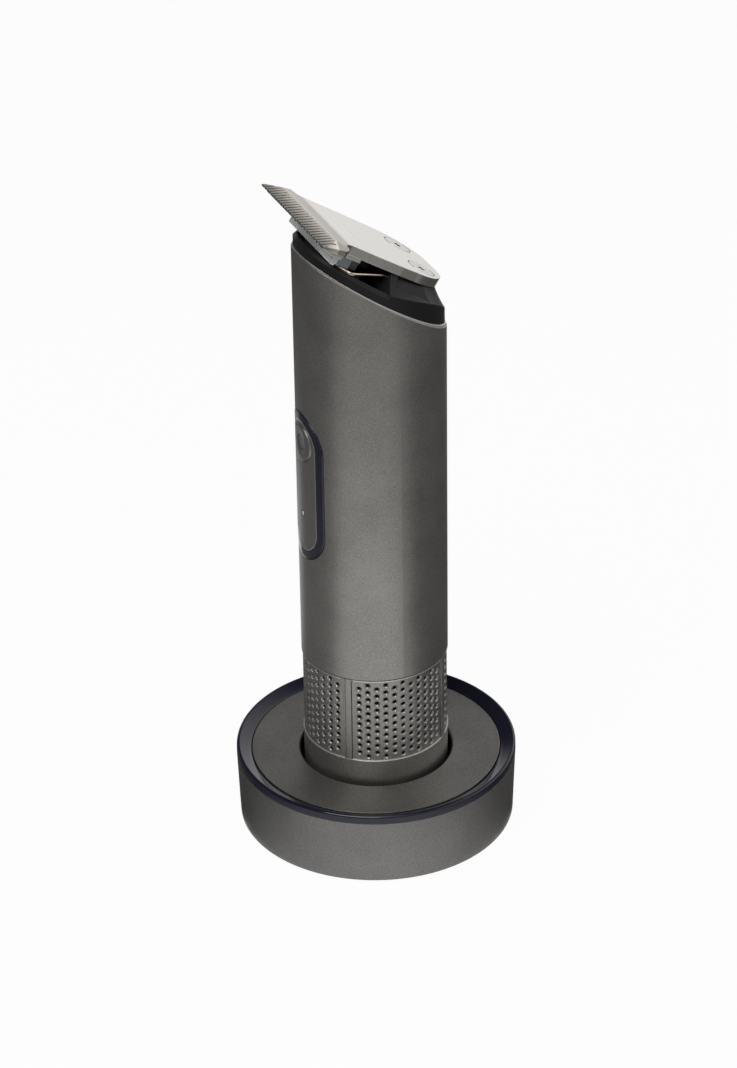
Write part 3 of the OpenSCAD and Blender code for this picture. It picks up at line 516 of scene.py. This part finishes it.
button_paint = Finish("button_paint")
x, _, z = button_paint.axes()
rise = z - button_z
from_middle = (x * x + rise * rise).root()
gap = abs(x).step(*SIGN_GAP).at_least(1 - rise.step(*GAP_ABOVE))
ring = from_middle.band(SIGN_R - SIGN_LINE, SIGN_R + SIGN_LINE, SIGN_SOFT) * gap
bar = (1 - abs(x).step(SIGN_LINE, SIGN_LINE + SIGN_SOFT)) * rise.band(*SIGN_BAR, SIGN_SOFT)
sign = ring.at_least(bar) * SIGN_DARK
layers = paint(button_paint, BODY_GREY, 0.36, PANEL_FLAKE)
layers["base_color"] = button_paint.mix(sign, layers["base_color"], (0.02, 0.02, 0.02))
layers["normal"] = button_paint.edge(BUTTON_EASE * MM)
button_paint.feed(**layers)
dress(button_paint, "power_button")


# Light guide and lamp: a moulded rod of clear acrylic, which leads from the lamp on the board to the
# panel's window.
clear = Finish("clear_guide", ior=1.49)
haze = clear.noise(0.5 * MM, 2)
clear.feed(base_color=clear.mix(haze, (0.80, 0.81, 0.80), (0.92, 0.92, 0.91)), roughness=haze * 0.1 + 0.2)
dress(clear, "light_guide", "indicator_led")


# Head frame: black moulding with a collar on the rim, a well for the drive and the flared pedestal that
# carries the blade. Its edges are eased by the mould; the well is left rough and painted near-black as shade.
WELL_R, WELL_SOFT = 17.45, 0.2
WELL_TOP, WELL_FADE = 2.2, 0.5
PEDESTAL_V, PEDESTAL_SOFT = -4.4, 0.1
HEAD_EASE = 0.4
head_moulding = Finish("head_moulding", specular_ior_level=0.22)
_, v, w = slanted(head_moulding)
x, y, _ = head_moulding.axes()
inside = 1 - (x * x + y * y).root().step(WELL_R - WELL_SOFT, WELL_R)
well = inside * (1 - w.step(WELL_TOP, WELL_TOP + WELL_FADE))
well = well * (1 - v.step(PEDESTAL_V - PEDESTAL_SOFT, PEDESTAL_V))
grain = head_moulding.noise(0.25 * MM, 2)
cloud = head_moulding.noise(9 * MM, 2)
tone = head_moulding.mix(cloud * 0.6 + grain * 0.4, (0.013, 0.013, 0.013), (0.019, 0.019, 0.019))
# Painted shade: the well's colour is near-black, darker than the moulding, for the shade down in the recess.
head_moulding.feed(base_color=head_moulding.mix(well, tone, (0.003, 0.003, 0.003)),
                   roughness=cloud * 0.1 + 0.38 + well * 0.4,
                   normal=head_moulding.bump(grain, 0.005 * MM, normal=head_moulding.edge(HEAD_EASE * MM)))
dress(head_moulding, "head_frame")
dress(plated("head_brass", (0.70, 0.55, 0.30), 0.3), "head_screws")


# Carrier of the moving cutter: a moulding in three greys, darkest at the fork for the crank pin, which is
# fixed under the cutter. A pale bar with rounded edges runs across its front, just under the teeth.
BLADE_REACH = 28.5
PALE_END, BLOCK_END = 9.1, 12.7
TONE_SOFT = 0.2
CARRIER_EASE = 0.2
carrier_moulding = Finish("carrier_moulding", specular_ior_level=0.45)
_, v, _ = slanted(carrier_moulding)
s = v + BLADE_REACH
cloud = carrier_moulding.noise(4 * MM, 3)
grain = carrier_moulding.noise(0.25 * MM, 2)
bar_tone = carrier_moulding.mix(cloud, (0.70, 0.735, 0.75), (0.78, 0.805, 0.815))
front_tone = carrier_moulding.mix(s.step(PALE_END, PALE_END + TONE_SOFT), bar_tone, (0.28, 0.295, 0.31))
rear_tone = carrier_moulding.mix(cloud, (0.11, 0.111, 0.113), (0.14, 0.141, 0.143))
carrier_eased = carrier_moulding.edge(CARRIER_EASE * MM)
carrier_moulding.feed(
    base_color=carrier_moulding.mix(s.step(BLOCK_END, BLOCK_END + TONE_SOFT), front_tone, rear_tone),
    roughness=cloud * 0.1 + 0.33, normal=carrier_moulding.bump(grain, 0.006 * MM, normal=carrier_eased))
dress(carrier_moulding, "cutter_carrier")

BAR_HALF = 13.3
BAR_FRONT, BAR_BACK = 7.7, 9.0
BAR_LOW, BAR_HIGH = 3.4, 6.22
BAR_EASE = 0.3
BAR_STEPS = 7


def rounded_bar():
    """A rounded rectangle carried across the head. Its outline is four quarter arcs. At each end it draws in
    by the radius times one minus the sine of a turn, while x moves by the radius times one minus its cosine.
    Returns places as x, distance from the tooth tips and height, and faces."""
    near, far = BAR_FRONT + BAR_EASE, BAR_BACK - BAR_EASE
    low, high = BAR_LOW + BAR_EASE, BAR_HIGH - BAR_EASE
    middles = [(far, high), (near, high), (near, low), (far, low)]
    outline = np.concatenate([arc(middle, BAR_EASE, 90 * i, 90 * (i + 1), BAR_STEPS)
                              for i, middle in enumerate(middles)])
    turn = np.linspace(0, np.pi / 2, BAR_STEPS)
    end = BAR_EASE * (1 - np.cos(turn)) - BAR_HALF
    inset = BAR_EASE * (1 - np.sin(turn))
    across = np.concatenate([end, -end[::-1]])[:, None]
    inset = np.concatenate([inset, inset[::-1]])[:, None, None]
    middle = np.array([(near + far) / 2, (low + high) / 2])
    extent = np.array([(BAR_BACK - BAR_FRONT) / 2, (BAR_HIGH - BAR_LOW) / 2])
    rings = middle + (outline - middle) * (1 - inset / extent)
    places = np.dstack([across + 0 * rings[..., 0], rings])
    index = np.arange(places[..., 0].size).reshape(places.shape[:2])
    after = np.roll(index, -1, axis=1)
    quads = np.stack([index[:-1], after[:-1], after[1:], index[1:]], axis=-1).reshape(-1, 4)
    return places.reshape(-1, 3), quads.tolist() + [index[0][::-1].tolist(), index[-1].tolist()]


def from_slanted(points):
    """Turns places in the slanted head, x, distance from the tooth tips and height, into metres: the way
    down the slope and the height square to it, turned about x by the rim's tilt and raised to the rim."""
    x, s, w = points.T
    v = s - BLADE_REACH
    cos, sin = math.cos(RIM_TILT), math.sin(RIM_TILT)
    return np.stack([x, v * cos + w * sin, RIM_Z - v * sin + w * cos], axis=1) * MM


places, faces = rounded_bar()
carrier_bar = piece("carrier_bar", from_slanted(places), faces, carrier_moulding)
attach(carrier_bar, "cutter")


# Tension spring: one length of drawn brass-coloured wire. It is bent to hook into two holes of the
# pedestal, runs forward past the carrier and presses it up from below.
WIRE_R = 0.45
WIRE_SIDES = 20
WIRE_ROUNDS = 3
WIRE_BENDS = [(12.4, 28.6, 5.9), (12.4, 23.1, 5.9), (12.6, 22.3, 5.7), (14.1, 14.9, 3.77), (14.2, 14.0, 3.48),
              (13.8, 13.2, 3.42), (10.4, 10.4, 3.42), (9.4, 10.0, 3.42)]


def eased(points, rounds):
    """Cuts every corner of a path at a quarter and three quarters of its legs, that many times over."""
    for _ in range(rounds):
        near = points[:-1] * 0.75 + points[1:] * 0.25
        far = points[:-1] * 0.25 + points[1:] * 0.75
        cut = np.stack([near, far], axis=1).reshape(-1, 3)
        points = np.concatenate([points[:1], cut, points[-1:]])
    return points


def swept(path, radius, sides):
    """A round section carried along a path: each ring is the path's point plus radius times the cosine of
    the turn along the side direction and its sine along the upper one. Returns corners and faces."""
    along = np.gradient(path, axis=0)
    along = along / np.linalg.norm(along, axis=1, keepdims=True)
    side = np.cross(along, (0.0, 0.0, 1.0))
    side = side / np.linalg.norm(side, axis=1, keepdims=True)
    upper = np.cross(side, along)
    turn = np.linspace(0, 2 * np.pi, sides, endpoint=False)[None, :, None]
    rings = path[:, None] + radius * (np.cos(turn) * side[:, None] + np.sin(turn) * upper[:, None])
    index = np.arange(len(path) * sides).reshape(len(path), sides)
    after = np.roll(index, -1, axis=1)
    quads = np.stack([index[:-1], index[1:], after[1:], after[:-1]], axis=-1).reshape(-1, 4)
    ends = [index[0].tolist(), index[-1][::-1].tolist()]
    return rings.reshape(-1, 3), quads.tolist() + ends


half = np.array(WIRE_BENDS)
bends = np.concatenate([half, half[::-1] * (-1, 1, 1)])
corners, faces = swept(eased(bends, WIRE_ROUNDS), WIRE_R, WIRE_SIDES)
brass = Finish("spring_brass", metallic=1.0)
drawn = brass.noise(0.3 * MM, 3, (1, 4, 1))
brass.feed(base_color=brass.mix(drawn, (0.52, 0.45, 0.33), (0.84, 0.78, 0.66)), roughness=drawn * 0.15 + 0.15)
spring = piece("spring_wire", from_slanted(corners), faces, brass)
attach(spring, "trimmer")
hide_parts("tension_spring")


# Blades: hardened steel plates. The fixed T-blade is surface ground across its length, and its tooth bevel
# and the hollow band behind it are ground again. Their colour is painted shading for their tilted faces: the
# bevel runs from dark at the tips to paler than the flat, and the band is darker. The cutter under it is
# plainly ground.
BEVEL_END, BEVEL_SOFT = 4.2, 0.1
BAND_FADE = (7.8, 9.8)
STEP_LINE, STEP_HALF, STEP_SOFT = 16.0, 0.06, 0.08
STEP_DARK = 0.5
BLADE_EASE = 0.25


def ground(finish, colour, roughness):
    """Ground steel: hair lines across the plate, in tone, gloss and relief."""
    hair = finish.noise(0.12 * MM, 3, (40, 1, 1))
    cloud = finish.noise(5 * MM, 3)
    dark = tuple(0.88 * c for c in colour)
    return {"base_color": finish.mix(hair * 0.5 + cloud * 0.5, dark, colour),
            "roughness": hair * 0.1 + cloud * 0.06 + (roughness - 0.08),
            "normal": finish.bump(hair, 0.002 * MM, normal=finish.edge(BLADE_EASE * MM))}


blade_steel = Finish("blade_steel", metallic=1.0)
_, v, _ = slanted(blade_steel)
s = v + BLADE_REACH
front = 1 - s.step(*BAND_FADE)
mark = s.band(STEP_LINE - STEP_HALF, STEP_LINE + STEP_HALF, STEP_SOFT) * STEP_DARK
layers = ground(blade_steel, (0.75, 0.725, 0.69), 0.3)
teeth = 1 - s.step(BEVEL_END - BEVEL_SOFT, BEVEL_END + BEVEL_SOFT)
# Painted shade: the hollow band and the tooth bevel are coloured darker, the bevel fading from dark at the
# tips to pale.
band_shaded = blade_steel.mix(front, layers["base_color"], (0.44, 0.415, 0.385))
tooth_shade_tone = blade_steel.mix(s.step(0.0, BEVEL_END), (0.34, 0.325, 0.285), (0.84, 0.80, 0.725))
toned = blade_steel.mix(teeth, band_shaded, tooth_shade_tone)
layers["base_color"] = blade_steel.mix(mark, toned, (0.40, 0.38, 0.35))
layers["roughness"] = layers["roughness"] + front * 0.06
blade_steel.feed(**layers)
dress(blade_steel, "fixed_blade")

cutter_steel = Finish("cutter_steel", metallic=1.0)
cutter_steel.feed(**ground(cutter_steel, (0.74, 0.74, 0.73), 0.35))
dress(cutter_steel, "cutter_blade")


# Blade screws: turned steel heads let into the blade flush, with turning marks in rings. They hold the
# blade on the pedestal.
SCREW_X = 7.4
SCREW_S = 34.9
SCREW_EASE = 0.12
turned = Finish("turned_steel", metallic=1.0)
x, v, _ = slanted(turned)
across = abs(x) - SCREW_X
behind = v + (BLADE_REACH - SCREW_S)
radius = (across * across + behind * behind).root()
rings = turned.node("ShaderNodeTexNoise", {"noise_dimensions": "1D"},
                    {"W": radius, "Scale": 4.0, "Detail": 3.0})
turned.feed(base_color=turned.mix(rings, (0.50, 0.48, 0.45), (0.70, 0.68, 0.65)),
            roughness=rings * 0.15 + 0.22,
            normal=turned.bump(rings, 0.01 * MM, normal=turned.edge(SCREW_EASE * MM)))
dress(turned, "blade_screws")


# Floor: a pale sheet under the dock, wide enough to fill the picture from every side. It shows white to
# the camera and in reflections, and keeps a soft shadow.
def seen(graph):
    """1 for rays from the camera, from reflections and through clear pieces, 0 for light that fills."""
    path = graph.node("ShaderNodeLightPath").socket.node
    kinds = ("Is Camera Ray", "Is Glossy Ray", "Is Transmission Ray")
    direct, glossy, through = [Value(graph, path.outputs[kind]) for kind in kinds]
    return (direct + glossy + through).at_most(1.0)


def flat_card(name, quads, height):
    """A level mesh of four-sided cards, each given by its corners in order, at that height in metres."""
    corners = np.array(quads, dtype=float).reshape(-1, 2)
    points = np.column_stack([corners, np.full(len(corners), height)])
    made = bpy.data.meshes.new(name)
    made.from_pydata(points.tolist(), [], np.arange(len(points)).reshape(-1, 4).tolist())
    laid = bpy.data.objects.new(name, made)
    bpy.context.scene.collection.objects.link(laid)
    return laid


FLOOR_HALF = 6.0
FLOOR_WHITE = 0.96
SQUARE = np.array([(-1, -1), (1, -1), (1, 1), (-1, 1)])
floor = flat_card("floor", [SQUARE * FLOOR_HALF], 0.0)
paper = Finish("paper", roughness=0.9, specular_ior_level=0.1)
paper.feed(base_color=paper.mix(paper.noise(1.5 * MM, 2), (0.90, 0.90, 0.895), (0.93, 0.93, 0.925)))
lit = Value(paper, paper.shader.outputs[0])
white = paper.node("ShaderNodeEmission", None, {"Color": (1, 1, 1, 1), "Strength": 1.0})
shown = paper.node("ShaderNodeMixShader", None, [seen(paper) * FLOOR_WHITE, lit, white])
paper.tree.links.new(shown.socket, paper.tree.nodes["Material Output"].inputs["Surface"])
floor.data.materials.append(paper.material)


# Camera: solved from the photograph's straight edges and ellipses, in pixels of its 737 by 1068 frame. It
# looks down on the object's right front.
PHOTO_H = 1068
FOCAL_PX = 3556.4
ELEVATION = math.radians(29.69)
AZIMUTH = math.radians(67.4)
ROLL = math.radians(-0.855)
DISTANCE = 0.9031
TARGET = Vector((0, 0, 0.090))
CENTRE_RIGHT_PX, CENTRE_UP_PX = 4.10, 24.77

toward = Vector((math.sin(AZIMUTH), -math.cos(AZIMUTH), 0))
back = toward * math.cos(ELEVATION) + Vector((0, 0, math.sin(ELEVATION)))
level = Vector((math.cos(AZIMUTH), math.sin(AZIMUTH), 0))
upright = back.cross(level)
right = level * math.cos(ROLL) + upright * math.sin(ROLL)
up = upright * math.cos(ROLL) - level * math.sin(ROLL)
lens = bpy.data.cameras.new("camera")
lens.sensor_fit = "AUTO"
lens.sensor_width = 36.0
lens.lens = FOCAL_PX / PHOTO_H * lens.sensor_width
lens.shift_x = -CENTRE_RIGHT_PX / PHOTO_H
lens.shift_y = -CENTRE_UP_PX / PHOTO_H
camera = bpy.data.objects.new("camera", lens)
bpy.context.scene.collection.objects.link(camera)
turn = Matrix((right, up, back)).transposed().to_4x4()
camera.matrix_world = Matrix.Translation(TARGET + back * DISTANCE) @ turn
bpy.context.scene.camera = camera


# Graded card: a ring of card round the object whose glow is graded from white to dark grey. It shows only in
# reflections, where it gives the round dock and body their darker sides as painted reflection.
CARD_NEAR, CARD_FAR = 0.0372, 1.5
CARD_STEP = 15
CARD_HEIGHT = 0.2
CARD_DARK = 0.075
DOCK_REACH = (70.0, 100.0)
DOCK_FADE, DOCK_LEAST = (10, 90), 0.06
RIGHT_FROM, RIGHT_TO, RIGHT_SOFT = 57, 150, 24
LEFT_FROM, LEFT_TO = -135, -58
LEFT_DEEPER, LEFT_DEPTH = (120.0, 280.0), 0.86
FRONT_TO = 46
SHADE_FRONT, FRONT_DEPTH = (100.0, 380.0), 0.92
SIDE_SOFT = 6


def bearing(degrees, distance):
    """A place on the floor at that distance, turned to the right of the camera by that angle."""
    a = math.radians(degrees)
    return tuple((toward * math.cos(a) + level * math.sin(a)) * distance)[:2]


def fan(start, end, near, far):
    """A card between two bearings, from one distance out to another."""
    return [bearing(start, near), bearing(start, far), bearing(end, far), bearing(end, near)]


fans = [fan(a, a + CARD_STEP, CARD_NEAR, CARD_FAR) for a in range(-180, 180, CARD_STEP)]
card = flat_card("graded_card", fans, CARD_HEIGHT * MM)
card_glow_grade = Finish("card_glow", base_color=(0, 0, 0, 1), specular_ior_level=0.0, emission_strength=1.0)
x, y, _ = card_glow_grade.axes()
ahead = x * toward.x + y * toward.y
across = x * level.x + y * level.y
turned_to = across.math("ARCTAN2", ahead) * (180 / math.pi)
reach = (x * x + y * y).root()
deeper = reach.step(*LEFT_DEEPER)
left_start = turned_to.step(LEFT_FROM - SIDE_SOFT, LEFT_FROM).at_least(deeper)
on_left = (1 - turned_to.step(LEFT_TO, LEFT_TO + SIDE_SOFT)) * left_start
on_right = turned_to.band(RIGHT_FROM, RIGHT_TO, RIGHT_SOFT)
beside = on_right.at_least(on_left * (deeper * (1 - LEFT_DEPTH) + LEFT_DEPTH))
in_front = reach.step(*SHADE_FRONT) * turned_to.band(LEFT_TO, FRONT_TO, SIDE_SOFT)
shaded = beside.at_least(in_front * FRONT_DEPTH)
faded = abs(turned_to).step(*DOCK_FADE) * (1 - DOCK_LEAST) * (1 / (1 - CARD_DARK))
by_dock = 1 - reach.step(*DOCK_REACH)
shaded = shaded * (1 - by_dock) + faded * by_dock
# The card's emission sets what the pieces reflect: white ahead, dark grey to the sides and beside the dock.
card_glow_grade.feed(emission_color=card_glow_grade.mix(shaded, (1, 1, 1), (CARD_DARK, CARD_DARK, CARD_DARK)))
card.data.materials.append(card_glow_grade.material)
card.visible_camera = False
card.visible_diffuse = False
card.visible_shadow = False


# Studio light: a soft key to the left of the camera, a wider and weaker lamp above the camera, and a dim
# white room. In reflections the room has a darker ceiling and is darker on the camera's side.
def softbox(name, azimuth, elevation, distance, size, watts):
    """A square lamp that faces the middle of the object from that direction."""
    lamp = bpy.data.lights.new(name, "AREA")
    lamp.size = size
    lamp.energy = watts
    made = bpy.data.objects.new(name, lamp)
    a, e = math.radians(azimuth), math.radians(elevation)
    out = Vector((math.sin(a) * math.cos(e), -math.cos(a) * math.cos(e), math.sin(e)))
    made.location = TARGET + out * distance
    made.rotation_mode = "QUATERNION"
    made.rotation_quaternion = out.to_track_quat("Z", "Y")
    bpy.context.scene.collection.objects.link(made)


softbox("key", azimuth=42, elevation=58, distance=1.0, size=0.6, watts=5.0)
softbox("front", azimuth=64, elevation=64, distance=1.2, size=0.9, watts=2.5)
ROOM_FILL = 0.12
CEILING = 0.04
CEILING_FROM = (0.10, 0.68)
CEILING_LEAN = 0.75
CAMERA_SIDE, SIDE_FROM = 0.7, (0.2, 0.8)
world = bpy.data.worlds.new("room")
world.use_nodes = True
room = Graph(world.node_tree)
direction = room.node("ShaderNodeTexCoord", output="Generated")
dx, dy, dz = room.outputs(room.node("ShaderNodeSeparateXYZ", None, [direction]))
rise = dz - (dx * level.x + dy * level.y) * CEILING_LEAN
in_front = (dx * toward.x + dy * toward.y).step(*SIDE_FROM)
walls = (1 - rise.step(*CEILING_FROM) * (1 - CEILING)) * (1 - in_front * CAMERA_SIDE)
camera_ray = room.outputs(room.node("ShaderNodeLightPath"))[0]
mirrored = seen(room) - camera_ray
room_level = camera_ray * (1 - ROOM_FILL) + mirrored * (walls - ROOM_FILL) + ROOM_FILL
shade = world.node_tree.nodes["Background"]
shade.inputs["Color"].default_value = (1, 1, 1, 1)
room.tree.links.new(room_level.socket, shade.inputs["Strength"])
bpy.context.scene.world = world
bpy.context.scene.view_settings.view_transform = "Standard"
